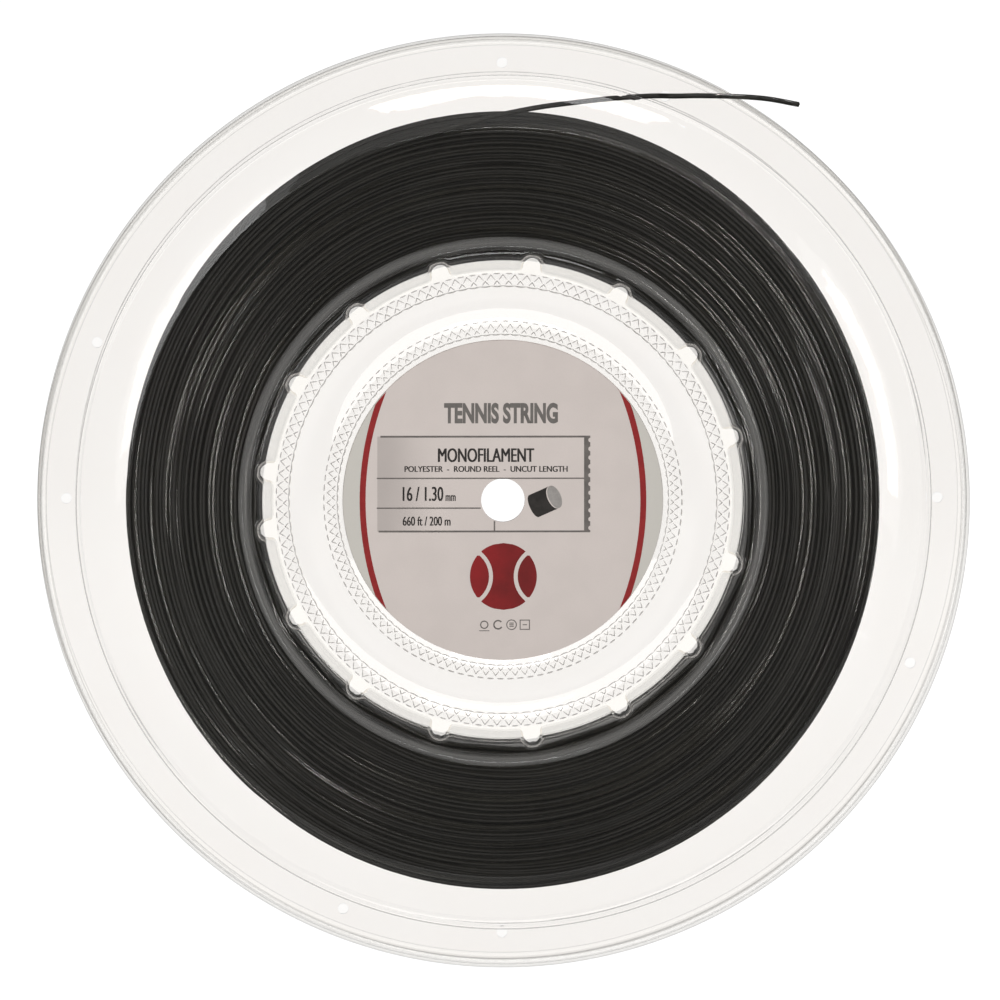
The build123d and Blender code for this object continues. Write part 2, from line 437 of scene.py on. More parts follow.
def rib_sag(theta):
    """How far the first turns sink between two ribs of the hub."""
    angles = np.sort(np.radians(RIB_ANGLES) % (2 * math.pi))
    gaps = np.diff(np.concatenate([angles, [angles[0] + 2 * math.pi]]))
    sag = np.zeros_like(theta)
    for start, gap in zip(angles, gaps):
        inside = (theta - start) % (2 * math.pi)
        here = inside < gap
        depth = FIRST_TURN * (1 - math.cos(gap / 2))
        sag[here] = min(0.9, depth) * np.sin(math.pi * inside[here] / gap) ** 1.5
    return sag


def section(run, theta, sink):
    """Radius and depth of a string at a distance run round the winding's surface, sunk below it."""
    mirrored = run > HALF_RUN
    run = np.where(mirrored, 2 * HALF_RUN - run, run)
    edge = coil_edge(theta)
    sag = rib_sag(theta) * np.clip(1 - run / 14, 0, 1) ** 2
    start = FIRST_TURN - sag
    side = np.clip(run / SIDE_RUN, 0, 1)
    radius = start + (edge - CORNER - STRING_RADIUS - start) * side
    turn = np.clip((run - SIDE_RUN) / CORNER, 0, math.pi / 2)
    radius = radius + (CORNER - sink) * np.sin(turn)
    depth = CORNER_DEPTH + (COIL_FACE - CORNER_DEPTH - sink) * np.cos(turn)
    past = np.clip(run - SIDE_RUN - CORNER * math.pi / 2, 0, None)
    depth = depth - past
    depth = np.where(mirrored, -depth, depth)
    return radius, depth


def wander(source, theta, size, terms=5):
    """Slow closed random wave round the reel."""
    total = np.zeros_like(theta)
    for order in range(1, terms + 1):
        phase = source.uniform(0, 2 * math.pi)
        total += source.uniform(-1, 1) / order**0.7 * np.sin(order * theta + phase)
    return size * total


def round_points(radius, depth, theta):
    """Points from radius, depth in front of the middle plane, and angle."""
    return np.stack([radius * np.cos(theta), -depth, radius * np.sin(theta)], -1)


def wound(theta, run, sink, sides, closed):
    """String that follows the winding's surface."""
    path = round_points(*section(run, theta, sink), theta)
    outward = round_points(1.0, np.zeros_like(theta), theta)
    return tube(path, STRING_RADIUS, sides, outward, closed)


def turn(source, run, sink, count, sides):
    """One closed turn of string with its slow wander."""
    theta = np.arange(count) / count * 2 * math.pi
    shift = wander(source, theta, 0.16)
    lift = np.clip(sink + wander(source, theta, 0.14), -0.2, 3.0)
    return wound(theta, run + shift, lift, sides, True)


def crossing(source, run, start, span, shift, sides):
    """A length of string that rises out of the winding, crosses its neighbours and sinks again."""
    count = max(40, int(span / (2 * math.pi) * 260))
    t = np.linspace(0, 1, count)
    theta = start + span * t
    path_run = run + shift * (3 * t**2 - 2 * t**3)
    rise = np.clip(np.minimum(t, 1 - t) / 0.22, 0, 1)
    sink = 1.5 - 1.75 * rise * rise * (3 - 2 * rise) + source.uniform(-0.1, 0.1)
    return wound(theta, path_run, sink, sides, False)


def build_winding(material):
    """Surface turns on the front, outside and rear of the winding, and turns under them."""
    source = random.Random(41)
    groups = {"front": [], "outer": [], "rear": [], "under": []}
    count = int(2 * HALF_RUN / PITCH)
    for index in range(count + 1):
        run = 2 * HALF_RUN * index / count + source.uniform(-0.28, 0.28)
        sink = source.choice((0.0, 0.05, 0.2, 0.45, 0.75, 1.05))
        group = "outer"
        if run < SIDE_RUN - 2:
            group = "front"
        elif run > 2 * HALF_RUN - SIDE_RUN + 2:
            group = "rear"
        groups[group].append(turn(source, run, sink, 240, 10))
        if index < count:
            groups["under"].append(turn(source, run + HALF_RUN / count, 1.25, 120, 6))
    for index in range(13):
        run = source.uniform(3, SIDE_RUN - 1)
        shift = source.choice((-1, 1)) * source.uniform(1.2, 2.6)
        span = math.radians(source.uniform(70, 150))
        for group, start_run, way in (("front", run, 1), ("rear", 2 * HALF_RUN - run, -1)):
            start = source.uniform(0, 6.28)
            groups[group].append(crossing(source, start_run, start, span, way * shift, 10))
    for index in range(7):
        run = source.uniform(SIDE_RUN, 2 * HALF_RUN - SIDE_RUN)
        shift = source.choice((-1, 1)) * source.uniform(1.5, 4.5)
        span = math.radians(source.uniform(60, 140))
        groups["outer"].append(crossing(source, run, source.uniform(0, 6.28), span, shift, 10))
    made = []
    for name, parts in groups.items():
        made.append(piece(f"winding_{name}_turns", *gather(parts), material))
    return made


def build_core(material):
    """Closed body of the inner turns, down to the hub, under the loose surface turns."""
    around = 600
    loosening = 14              # distance from the hub over which the core leaves it
    theta = np.arange(around) / around * 2 * math.pi
    rings = []
    for run in np.linspace(0, 2 * HALF_RUN, 110):
        radius, depth = section(np.full(around, run), theta, 2.3)
        first = FIRST_TURN - rib_sag(theta)
        low = np.maximum(wall_radius(abs(float(depth[0])), theta), CORE_BORE) + 0.15
        share = np.clip((radius - first) / loosening, 0, 1)
        radius = np.where(share < 1, low + (first + loosening - low) * share, radius)
        rings.append(round_points(radius, depth, theta))
    rings = np.array(rings)
    row = np.arange(len(rings))[:, None]
    col = np.arange(around)[None, :]
    below = (row + 1) % len(rings)
    over = (col + 1) % around
    corners = [row * around + col, row * around + over, below * around + over, below * around + col]
    faces = np.stack(corners, -1).reshape(-1, 4)
    return piece("winding_core", rings.reshape(-1, 3), faces, material)


def tail_points():
    """Centre line of the string from the winding, through the tie hole, to its free end."""
    inner = []
    for degrees, radius, depth in ((122, 101.6, 6.9), (116, 102.0, 7.35), (110, 102.4, 7.85)):
        inner.append(tuple(round_points(radius, depth, math.radians(degrees))))
    across = [
        (-16.8, -8.15, 101.9), (-8.5, -8.1, 104.4), (-1.5, -8.0, 106.2), (9.7, -8.3, 108.4),
        (20.2, -9.1, 109.8), (28.1, -10.0, 110.7), (35.5, -10.9, 111.25),
        (TIE_X - 4.2, -11.5, TIE_Z - 0.05), (TIE_X - 1.6, -11.9, TIE_Z),
        (TIE_X, -12.85, TIE_Z), (TIE_X + 1.6, -13.8, TIE_Z), (TIE_X + 3.6, -TAIL_DEPTH, TIE_Z),
        (TIE_X + 9, -TAIL_DEPTH, TIE_Z + 0.1), (TIE_X + 20, -TAIL_DEPTH - 0.3, TIE_Z - 0.15),
        (TIE_X + 28, -TAIL_DEPTH - 0.6, TIE_Z - 0.75), (TIE_X + 36.6, -TAIL_DEPTH - 1.0, TIE_Z - 2.3),
    ]
    return inner + across


def build_tail(material):
    path = smooth_path(tail_points(), 0.6)
    depthwise = np.tile([0.0, -1.0, 0.0], (len(path), 1))
    made = piece("string_end", *tube(path, STRING_RADIUS + 0.06, 16, depthwise, False), material)
    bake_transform(made)
    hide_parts("string_tail")
    return made


# ---------------------------------------------------------------- formed shells

SHEET = 0.8
LIP_RADIUS = RIM_RADIUS - SHEET
DRAWN_WALL = 0.62           # thickness of the hub wall
GAP = 0.01                  # from the middle plane to each half
WALL_FOOT = 63.7            # radius of the hub wall at the middle plane
WALL_TOP = 66.5             # and at the flange
CHANNEL = 9.0               # depth of the flange
RIB_CENTRE = 64.9
RIB_ROUND = 3.1
RIB_FILLET = 1.2
RIB_MEASURE = 65.6          # radius at which distances across a rib are taken
FLANGE_START = 69.2
FLARE_CORNERS = ((103.0, 9.0, 2.0), (109.0, 10.892, 67.0), (115.0, 11.692, 3.0))  # radius, depth, bend
RIM_DEPTH = 12.45
TIE_RADIUS = 1.5
TIE_PATCH = 2.0             # half the side of the square of mesh round a tie hole


def bend_rows(corners):
    """Points (radius, depth) along a line with round bends."""
    rows = [corners[0][:2]]
    for before, here, after in zip(corners, corners[1:], corners[2:]):
        point = np.array(here[:2])
        back = unit(np.array(before[:2]) - point)
        ahead = unit(np.array(after[:2]) - point)
        half = math.acos(np.clip(-back @ ahead, -1, 1)) / 2
        reach = here[2] * math.tan(half)
        centre = point + unit(back + ahead) * here[2] / math.cos(half)
        first = point + back * reach - centre
        last = point + ahead * reach - centre
        count = max(3, int(math.degrees(2 * half) / 11) + 1)
        for t in np.linspace(0, 1, count):
            turned = math.sin((1 - t) * 2 * half) * first + math.sin(t * 2 * half) * last
            rows.append(tuple(centre + turned / math.sin(2 * half)))
    rows.append(corners[-1][:2])
    return rows


def flange_rows():
    """Rows of the flange from the root of the hub wall to the edge of the rim lip."""
    corners = [(FLANGE_START, CHANNEL), (69.5, CHANNEL, 0.9), (70.2, CHANNEL + 0.45, 0.9),
               (71.8, CHANNEL + 0.45, 0.9), (72.7, CHANNEL, 0.9), *FLARE_CORNERS,
               (116.2, 11.692, 0.9), (117.3, RIM_DEPTH, 0.9),
               (LIP_RADIUS, RIM_DEPTH, 1.4), (LIP_RADIUS, 10.55)]
    rows = bend_rows(corners)
    steps = [(TIE_CIRCLE - TIE_PATCH + TIE_PATCH / 4 * k, RIM_DEPTH) for k in range(9)]
    rows += steps + [(radius, CHANNEL) for radius in (78.0, 86.0, 94.0)]
    rim = [row for row in rows if row[1] < 11 and row[0] > LIP_RADIUS - 0.1]
    inner = sorted(row for row in rows if row not in rim)
    kept = [inner[0]]
    for row in inner[1:]:
        if math.dist(row, kept[-1]) > 0.03:
            kept.append(row)
    return kept + rim


def tie_angles(side):
    return [TIE_ANGLES[side] + 90 * k for k in range(4)]


def shell_columns(ties):
    """Angles of the mesh columns: close on the ribs and tie holes, wider between them."""
    marks = set()
    rounds = [RIB_ROUND * math.sin(math.radians(a)) for a in range(-78, 79, 12)]
    feet = [sign * u for sign in (-1, 1) for u in (3.1, 3.2, 3.42, 3.75, 4.2)]
    for rib in RIB_ANGLES:
        for u in rounds + feet:
            marks.add(round((rib + math.degrees(math.asin(u / RIB_MEASURE))) % 360, 5))
    for tie in ties:
        for k in range(-4, 5):
            marks.add(round((tie + k * math.degrees(TIE_PATCH / 4 / TIE_CIRCLE)) % 360, 5))
    marks = sorted(marks)
    angles = []
    for here, after in zip(marks, marks[1:] + [marks[0] + 360]):
        pieces_in = max(1, math.ceil((after - here) / 1.05))
        angles.extend(here + (after - here) * k / pieces_in for k in range(pieces_in))
    return np.array(angles)


def wall_radius(depth, theta):
    """Channel side of the ribbed hub wall."""
    base = WALL_FOOT + (WALL_TOP - WALL_FOOT) * depth / CHANNEL
    radius = np.full_like(theta, base)
    rise = base + RIB_FILLET - RIB_CENTRE
    reach = RIB_ROUND + RIB_FILLET
    foot = math.sqrt(max(0.0, reach**2 - rise**2))
    meet = RIB_ROUND * foot / reach
    for rib in RIB_ANGLES:
        away = (theta - math.radians(rib) + math.pi) % (2 * math.pi) - math.pi
        u = np.abs(RIB_MEASURE * np.sin(away))
        near = np.abs(away) < 0.2
        on_round = near & (u <= meet)
        on_foot = near & (u > meet) & (u < foot)
        radius[on_round] = RIB_CENTRE + np.sqrt(RIB_ROUND**2 - u[on_round] ** 2)
        radius[on_foot] = base + RIB_FILLET - np.sqrt(RIB_FILLET**2 - (foot - u[on_foot]) ** 2)
    return radius


def curve_rows(first, corner, last, count):
    """Rows of a rounded corner that varies round the hub."""
    rows = []
    for t in np.linspace(0, 1, count):
        weights = ((1 - t) ** 2, 2 * t * (1 - t), t * t)
        rows.append(tuple(sum(w * p[k] for w, p in zip(weights, (first, corner, last))) for k in (0, 1)))
    return rows


def sheet_grid(theta):
    """Channel side of one formed half as rows of (radius, depth), with the sheet thickness of each row."""
    flat = np.ones_like(theta)
    rows = []
    for radius in (BORE_RADIUS, 24.0, 45.0, 45.4, 49.3, 49.7, 58.4, 58.8, 62.0):
        groove = 45.3 < radius < 49.4 or 58.7 < radius < 62.1
        rows.append((radius * flat, GAP * flat, GROOVE_FACE if groove else SHEET))
    foot = wall_radius(0, theta)
    for radius, depth in curve_rows((foot - 1.0, GAP), (foot, GAP), (wall_radius(1.1, theta), 1.1), 5):
        rows.append((radius, depth * flat, SHEET - 0.1))
    for depth in (3.2, 5.3):
        rows.append((wall_radius(depth, theta), depth * flat, DRAWN_WALL))
    top = wall_radius(CHANNEL, theta)
    root = curve_rows((wall_radius(7.3, theta), 7.3), (top, CHANNEL), (FLANGE_START * flat, CHANNEL), 7)
    for index, (radius, depth) in enumerate(root[:-1]):
        rows.append((radius, depth * flat, DRAWN_WALL + (SHEET - DRAWN_WALL) * index / 6))
    for radius, depth in flange_rows():
        rows.append((radius * flat, depth * flat, SHEET))
    radius = np.array([row[0] for row in rows])
    depth = np.array([row[1] for row in rows])
    thickness = np.array([row[2] for row in rows])
    return radius, depth, thickness


def facing(points, faces, outward):
    """Faces turned, if need be, so that the first one's normal points outward."""
    a, b, c = (np.array(points[index]) for index in faces[0][:3])
    if np.dot(np.cross(b - a, c - a), outward) < 0:
        return [face[::-1] for face in faces]
    return faces


def build_shell(side, material):
    """Closed mesh of one formed half, with its ribs, bends and drilled tie holes."""
    ties = tie_angles(side)
    angles = shell_columns(ties)
    theta = np.radians(angles)
    radius, depth, thickness = sheet_grid(theta)
    channel = round_points(radius, depth, theta)
    along = np.gradient(channel, axis=0)
    around = np.roll(channel, -1, 1) - np.roll(channel, 1, 1)
    outside = channel + unit(np.cross(along, around)) * thickness[:, None, None]
    count, columns = radius.shape
    loop = np.concatenate([channel, outside[::-1]])
    points = [tuple(p) for p in loop.reshape(-1, 3)]
    middle = int(np.argmin(np.abs(radius[:, 0] - TIE_CIRCLE) + 100 * (depth[:, 0] < 12.4)))
    centres = [int(np.argmin(np.abs((angles - tie + 180) % 360 - 180))) for tie in ties]
    cut = set()
    for centre in centres:
        for i in range(middle - 4, middle + 4):
            for j in range(centre - 4, centre + 4):
                cut.add((i, j % columns))
                cut.add((2 * count - 2 - i, j % columns))
    faces = []
    for i in range(2 * count):
        ahead = (i + 1) % (2 * count)
        for j in range(columns):
            if (i, j) not in cut:
                after = (j + 1) % columns
                here, there = i * columns, ahead * columns
                faces.append((here + j, here + after, there + after, there + j))
    for centre, tie in zip(centres, ties):
        faces += drilled_hole(points, columns, count, middle, centre, math.radians(tie))
    if side == "rear":
        points = [(x, -y, z) for x, y, z in points]
        faces = [face[::-1] for face in faces]
    made = piece(f"{side}_shell_formed", points, faces, material)
    made.data.set_sharp_from_angle(angle=math.radians(38))
    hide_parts(f"{side}_shell")
    return made


def drilled_hole(points, columns, count, middle, centre, tie):
    """Round edge and wall of one tie hole, joined to the square left open in the grid."""
    loop = [(-4 + k, -4) for k in range(8)] + [(4, -4 + k) for k in range(8)]
    loop += [(4 - k, 4) for k in range(8)] + [(-4, 4 - k) for k in range(8)]
    middle_point = (TIE_CIRCLE * math.cos(tie), TIE_CIRCLE * math.sin(tie))
    edges = []
    for layer, depth in ((0, RIM_DEPTH), (1, RIM_DEPTH + SHEET)):
        square = []
        ring = []
        for i, j in loop:
            row = middle + i if layer == 0 else 2 * count - 1 - (middle + i)
            square.append(row * columns + (centre + j) % columns)
            x, _, z = points[square[-1]]
            away = np.array([x - middle_point[0], z - middle_point[1]])
            away *= TIE_RADIUS / np.linalg.norm(away)
            ring.append(len(points))
            points.append((middle_point[0] + away[0], -depth, middle_point[1] + away[1]))
        edges.append((square, ring))
    faces = []
    total = len(loop)
    for layer, (square, ring) in enumerate(edges):
        patch = []
        for index in range(total):
            after = (index + 1) % total
            patch.append((square[index], square[after], ring[after], ring[index]))
        faces += facing(points, patch, (0, 1, 0) if layer == 0 else (0, -1, 0))
    wall = []
    near, far = edges[0][1], edges[1][1]
    for index in range(total):
        after = (index + 1) % total
        wall.append((near[index], near[after], far[after], far[index]))
    inward = np.array([middle_point[0], -RIM_DEPTH, middle_point[1]]) - np.array(points[near[0]])
    return faces + facing(points, wall, inward)


# ---------------------------------------------------------------- weld rings

STEPS = (-1, -0.5, 0, 0.5, 1)


def ridge(path, width, height, depth):
    """Small closed wedge along a path of (radius, angle), pinched at both ends."""
    radius, angle = np.array(path).T
    centre = round_points(radius, np.full(len(path), depth), angle)
    along = unit(np.gradient(centre, axis=0))
    side = np.cross(along, np.array([0.0, -1.0, 0.0])) * width / 2
    taper = np.ones((len(path), 1))
    taper[0] = taper[-1] = 0.35
    top = centre + np.array([0.0, -height, 0.0]) * taper
    points = np.concatenate([centre - side * taper, top, centre + side * taper])
    count = len(path)
    faces = []
    for low, high in ((0, 1), (1, 2), (2, 0)):
        for index in range(count - 1):
            a = low * count + index
            b = high * count + index
            faces.append((a, a + 1, b + 1, b))
    faces.append((0, count, 2 * count))
    faces.append((count - 1, 3 * count - 1, 2 * count - 1))
    return points, faces


def chevron(radius, angle, drop, half):
    """Path of one tooth edge, its point outward."""
    return [(radius - drop * abs(part), angle + part * half / radius) for part in STEPS]


def arc_path(radius, angle, half, bow):
    """Short arc round the axis, bowed inward at its middle."""
    return [(radius - bow * math.cos(part * math.pi / 2), angle + part * half / radius) for part in STEPS]


def weld_teeth(cells, outer, rows, inner):
    """Edges of the diamond teeth of one pressed ring."""
    step = 2 * math.pi / cells
    paths = []
    for cell in range(cells):
        here = (cell + 0.25) * step
        paths.append(arc_path(outer[0], here + step / 2, outer[1], 0.0))
        for row, (radius, drop, half) in enumerate(rows):
            paths.append(chevron(radius, here + row % 2 * step / 2, drop, half))
        paths.append(arc_path(inner, here + (len(rows) - 1) % 2 * step / 2, step / 2 * inner, 0.22))
    return paths


def build_knurls(material):
    rings = {
        "outer": weld_teeth(117, (62.35, 0.85), ((62.05, 1.5, 1.2), (60.3, 1.05, 0.9)), 58.95),
        "inner": weld_teeth(112, (49.3, 0.9), ((48.45, 1.25, 0.9), (46.95, 0.85, 0.72)), 45.65),
    }
    made = []
    for name, paths in rings.items():
        points, faces = joined([ridge(path, 0.28, 0.11, GROOVE_FACE - 0.01) for path in paths])
        for side, flip in (("front", 1), ("rear", -1)):
            turned = np.array(points) * np.array([1, flip, 1])
            made.append(piece(f"{side}_weld_ring_{name}", turned, faces, material, False))
    return made


# ---------------------------------------------------------------- label print

INK = 0.03                  # height of the print above the paper
SUNK = 0.005                # how far it starts below the paper
BOX_RIGHT = 22.3            # right end and heights of the box of information rows
BOX_LOW = -8.85
BOX_HIGH = 17.75


def prism(outline, low=LABEL_FACE - SUNK, high=LABEL_FACE + INK):
    """Closed flat prism from an anticlockwise outline of (x, z)."""
    count = len(outline)
    points = [(x, -low, z) for x, z in outline] + [(x, -high, z) for x, z in outline]
    faces = [tuple(range(count, 2 * count)), tuple(reversed(range(count)))]
    for index in range(count):
        after = (index + 1) % count
        faces.append((index, after, after + count, index + count))
    return points, faces


def joined(parts):
    """Joins lists of points and faces with any number of corners."""
    points = []
    faces = []
    for some_points, some_faces in parts:
        offset = len(points)
        points.extend(some_points)
        faces.extend(tuple(index + offset for index in face) for face in some_faces)
    return points, faces


def printed(name, parts, material):
    """The same print on the front label and, turned round, on the rear label."""
    points, faces = joined(parts)
    made = []
    for side, flip in (("front", 1), ("rear", -1)):
        turned = np.array(points) * np.array([flip, flip, 1])
        made.append(piece(f"{side}_{name}", turned, faces, material, False))
    return made


def bar(x0, x1, z0, z1):
    return prism([(x0, z0), (x1, z0), (x1, z1), (x0, z1)])


def bold(text, x0, x1, z0, z1, shift):
    """Lettering thickened by printing it twice, a little apart and at slightly different heights."""
    return [words(text, x0, x1 - shift, z0, z1), words(text, x0 + shift, x1, z0, z1, ink=0.8 * INK)]


def words(text, x0, x1, z0, z1, weight=0.0, ink=INK):
    """Lettering fitted to a box on the label."""
    curve = bpy.data.curves.new("words", "FONT")
    curve.body = text
    curve.size = 1.0
    curve.offset = weight
    curve.resolution_u = 5
    curve.extrude = 0.5
    holder = bpy.data.objects.new("words", curve)
    bpy.context.scene.collection.objects.link(holder)
    bpy.context.view_layer.update()
    mesh = bpy.data.meshes.new_from_object(holder.evaluated_get(bpy.context.evaluated_depsgraph_get()))
    welded = bmesh.new()
    welded.from_mesh(mesh)
    bmesh.ops.remove_doubles(welded, verts=welded.verts, dist=1e-5)
    bmesh.ops.recalc_face_normals(welded, faces=welded.faces)
    welded.to_mesh(mesh)
    welded.free()
    local = np.array([v.co for v in mesh.vertices])
    low = local.min(0)
    high = local.max(0)
    x = x0 + (local[:, 0] - low[0]) / (high[0] - low[0]) * (x1 - x0)
    z = z0 + (local[:, 1] - low[1]) / (high[1] - low[1]) * (z1 - z0)
    lift = (local[:, 2] - low[2]) / (high[2] - low[2])
    y = -(LABEL_FACE - SUNK + lift * (ink + SUNK))
    faces = [tuple(polygon.vertices) for polygon in mesh.polygons]
    bpy.data.objects.remove(holder)
    bpy.data.curves.remove(curve)
    bpy.data.meshes.remove(mesh)
    return [tuple(p) for p in np.stack([x, y, z], -1)], faces


def side_arc(flip):
    """Red arc down one side of the label, cut off by its edge."""
    centre = 38.6 - ARC_RADIUS
    half_width = 0.82
    edge = LABEL_RADIUS - 0.12
    pairs = []
    for angle in np.radians(np.linspace(-22.3, 22.3, 61)):
        pair = []
        for radius in (ARC_RADIUS - half_width, ARC_RADIUS + half_width):
            x = centre + radius * math.cos(angle)
            z = radius * math.sin(angle)
            keep = min(1.0, edge / math.hypot(x, z))
            pair.append((flip * x * keep, z * keep))
        pairs.append(pair)
    strips = []
    for (a, b), (d, c) in zip(pairs, pairs[1:]):
        if math.dist(a, b) + math.dist(c, d) > 0.02:
            strips.append([a, b, c, d] if flip > 0 else [d, c, b, a])
    return band(strips)


def band(strips):
    """Closed strip of quads that share their edges."""
    top = LABEL_FACE + INK
    low = LABEL_FACE - SUNK
    points = []
    for corners in strips:
        points.extend(corners[:2] if not points else [])
        points.extend((corners[3], corners[2]))
    flat = [(x, -low, z) for x, z in points] + [(x, -top, z) for x, z in points]
    count = len(points)
    faces = []
    for index in range(0, count - 2, 2):
        a, b, c, d = index, index + 1, index + 3, index + 2
        faces.append((a + count, b + count, c + count, d + count))
        faces.append((d, c, b, a))
        faces.append((a, a + count, d + count, d))
        faces.append((b, c, c + count, b + count))
    faces.append((0, 1, 1 + count, count))
    faces.append((count - 2, 2 * count - 2, 2 * count - 1, count - 1))
    return flat, faces


def ring_strips(x, z, inner, outer, start=0.0, end=360.0, count=24):
    """Quads of a ring sector on the label."""
    strips = []
    for index in range(count):
        corners = []
        for step, radius in ((0, inner), (0, outer), (1, outer), (1, inner)):
            angle = math.radians(start + (end - start) * (index + step) / count)
            corners.append((x + radius * math.cos(angle), z + radius * math.sin(angle)))
        strips.append(corners)
    return strips


def emblem():
    """Round ball sign in three fields with two seams left open between them."""
    cx, cz, radius = 0.1, -21.0, 9.2
    seam_centre = 11.6
    seam = 8.2
    gap = 0.55

    def seam_edge(z, arc, across):
        """Distance of one edge of the seam from the middle of the ball at height z."""
        if abs(z) >= arc:
            return across
        return seam_centre - math.sqrt(max(0.0, arc**2 - z * z))

    middle = []
    right = []
    for index in range(49):
        z = -radius + 2 * radius * index / 48
        across = math.sqrt(max(0.0, radius**2 - z * z))
        inner = min(across, seam_edge(z, seam + gap, across))
        outer = seam_edge(z, seam - gap, across)
        middle.append((z, -inner, inner))
        if outer < across - 0.02:
            right.append((z, outer, across))
    left = [(z, -across, -outer) for z, outer, across in right]
    fields = []
    for field in (middle, left, right):
        strips = []
        for (z0, a0, b0), (z1, a1, b1) in zip(field, field[1:]):
            strips.append([(cx + a0, cz + z0), (cx + b0, cz + z0), (cx + b1, cz + z1), (cx + a1, cz + z1)])
        fields.append(band(strips))
    return fields


def stamp_strip():
    """Dark strip with a scalloped edge at the right end of the information rows."""
    left, right = BOX_RIGHT, 24.0
    teeth = 11
    pitch = (BOX_HIGH - BOX_LOW) / teeth
    edge = [(right, BOX_LOW)]
    for tooth in range(teeth):
        middle = BOX_LOW + (tooth + 0.5) * pitch
        for step in range(7):
            angle = math.radians(-90 + 180 * step / 6)
            edge.append((right - 0.55 * math.cos(angle), middle + 0.62 * math.sin(angle)))
    edge.append((right, BOX_HIGH))
    strips = []
    for first, second in zip(edge, edge[1:]):
        if second[1] - first[1] > 1e-4:
            strips.append([(left, first[1]), first, second, (left, second[1])])
    return band(strips)


def icons():
    """Small plain outline signs in a row: underlined ring, open ring, ring with bars, square with a bar."""
    z = -34.3
    underlined, opened, barred, square = -5.15, -1.35, 2.35, 6.0
    parts = [
        band(ring_strips(underlined, z, 0.85, 1.15)),
        bar(underlined - 1.4, underlined + 1.4, z - 1.75, z - 1.55),
        band(ring_strips(opened, z, 0.95, 1.35, 40, 330)),
        band(ring_strips(barred, z, 1.2, 1.45)),
    ]
    for x, offset in ((barred, -0.45), (barred, 0.0), (barred, 0.45), (square, 0.0)):
        parts.append(bar(x - 0.6, x + 0.6, z + offset - 0.12, z + offset + 0.12))
    for side in (-1, 1):
        near, far = sorted((side * 1.15, side * 1.4))
        parts.append(bar(square - 1.4, square + 1.4, z + near, z + far))
        parts.append(bar(square + near, square + far, z - 1.15, z + 1.15))
    return parts


def string_sign():
    """Plain sign of a cut round string seen at an angle: its body and its end face."""
    centre = np.array([14.2, 0.9])
    length = 6.2
    across = 3.3
    gap = 0.3
    slant = math.radians(24)
    along = np.array([math.cos(slant), math.sin(slant)])
    side = np.array([-math.sin(slant), math.cos(slant)])
    face = []
    for step in range(32):
        angle = 2 * math.pi * step / 32
        face.append(tuple(centre + 1.7 * math.cos(angle) * along + across * math.sin(angle) * side))
    body = []
    for start, reach, turns in ((-length, 1.2, range(90, 271, 12)), (-gap, 1.7, range(270, 89, -12))):
        for degrees in turns:
            angle = math.radians(degrees)
            point = centre + (start + reach * math.cos(angle)) * along + across * math.sin(angle) * side
            body.append(tuple(point))
    return prism(body), prism(face)


def build_print(inks):
    """All printing on both labels."""
    made = []
    rules = [
        bar(-33.7, BOX_RIGHT, BOX_HIGH - 0.5, BOX_HIGH), bar(-34.7, BOX_RIGHT, 5.85, 6.2),
        bar(-34.7, -6.1, -2.35, -2.0), bar(-34.2, BOX_RIGHT, BOX_LOW, BOX_LOW + 0.5),
        bar(-2.55, -2.15, BOX_LOW + 0.5, -5.75), stamp_strip(),
    ]
    made += printed("label_rules", rules, inks["grey"])
    heading = [words("TENNIS STRING", -16.2, 15.1, 21.1, 26.8, 0.045)]
    made += printed("label_heading", heading, inks["heading"])
    text = [
        *bold("MONOFILAMENT", -17.9, 8.6, 10.5, 14.3, 0.24),
        *bold("POLYESTER  -  ROUND REEL  -  UNCUT LENGTH", -27.1, 17.8, 7.8, 9.4, 0.14),
        *bold("16 / 1.30", -27.6, -16.4, -0.2, 3.7, 0.19),
        *bold("mm", -15.8, -13.0, -0.2, 1.4, 0.12),
        *bold("660 ft / 200 m", -27.6, -14.4, -7.0, -4.5, 0.14),
    ]
    made += printed("label_text", text, inks["dark"])
    made += printed("label_arcs", [side_arc(1), side_arc(-1)], inks["red"])
    made += printed("label_emblem", emblem(), inks["emblem"])
    made += printed("label_icons", icons(), inks["grey"])
    body, face = string_sign()
    made += printed("label_section", [body], inks["dark"])
    made += printed("label_facet", [face], inks["facet"])
    return made


# ---------------------------------------------------------------- stage

def surroundings(tree, bright, dark, ambient):
    """Light level seen past the reel: white straight through it, dark where a flat flange mirrors it.

    bright is the level seen directly, dark the level straight ahead in mirrored rays, and ambient
    the level that lights matt surfaces.
    """
    path = add(tree, "ShaderNodeLightPath").outputs
    toward = add(tree, "ShaderNodeNewGeometry").outputs["Incoming"]
    ahead = maths(tree, "ABSOLUTE", split(tree, toward)[1])
    outer = between(tree, ahead, 0.62, 0.93, 0.30, dark)
    inner = between(tree, ahead, 0.86, 0.95, 0.65, dark)
    reflected = mix_values(tree, maths(tree, "GREATER_THAN", path["Transmission Depth"], 0.5), outer, inner)
    level = mix_values(tree, maths(tree, "GREATER_THAN", path["Glossy Depth"], 0.5), bright, reflected)
    matt = maths(tree, "GREATER_THAN", path["Diffuse Depth"], 0.5)
    return mix_values(tree, matt, level, ambient)


def mix_values(tree, factor, first, second):
    made = add(tree, "ShaderNodeMix", {0: factor, 2: first, 3: second}, data_type="FLOAT")
    return made.outputs[0]


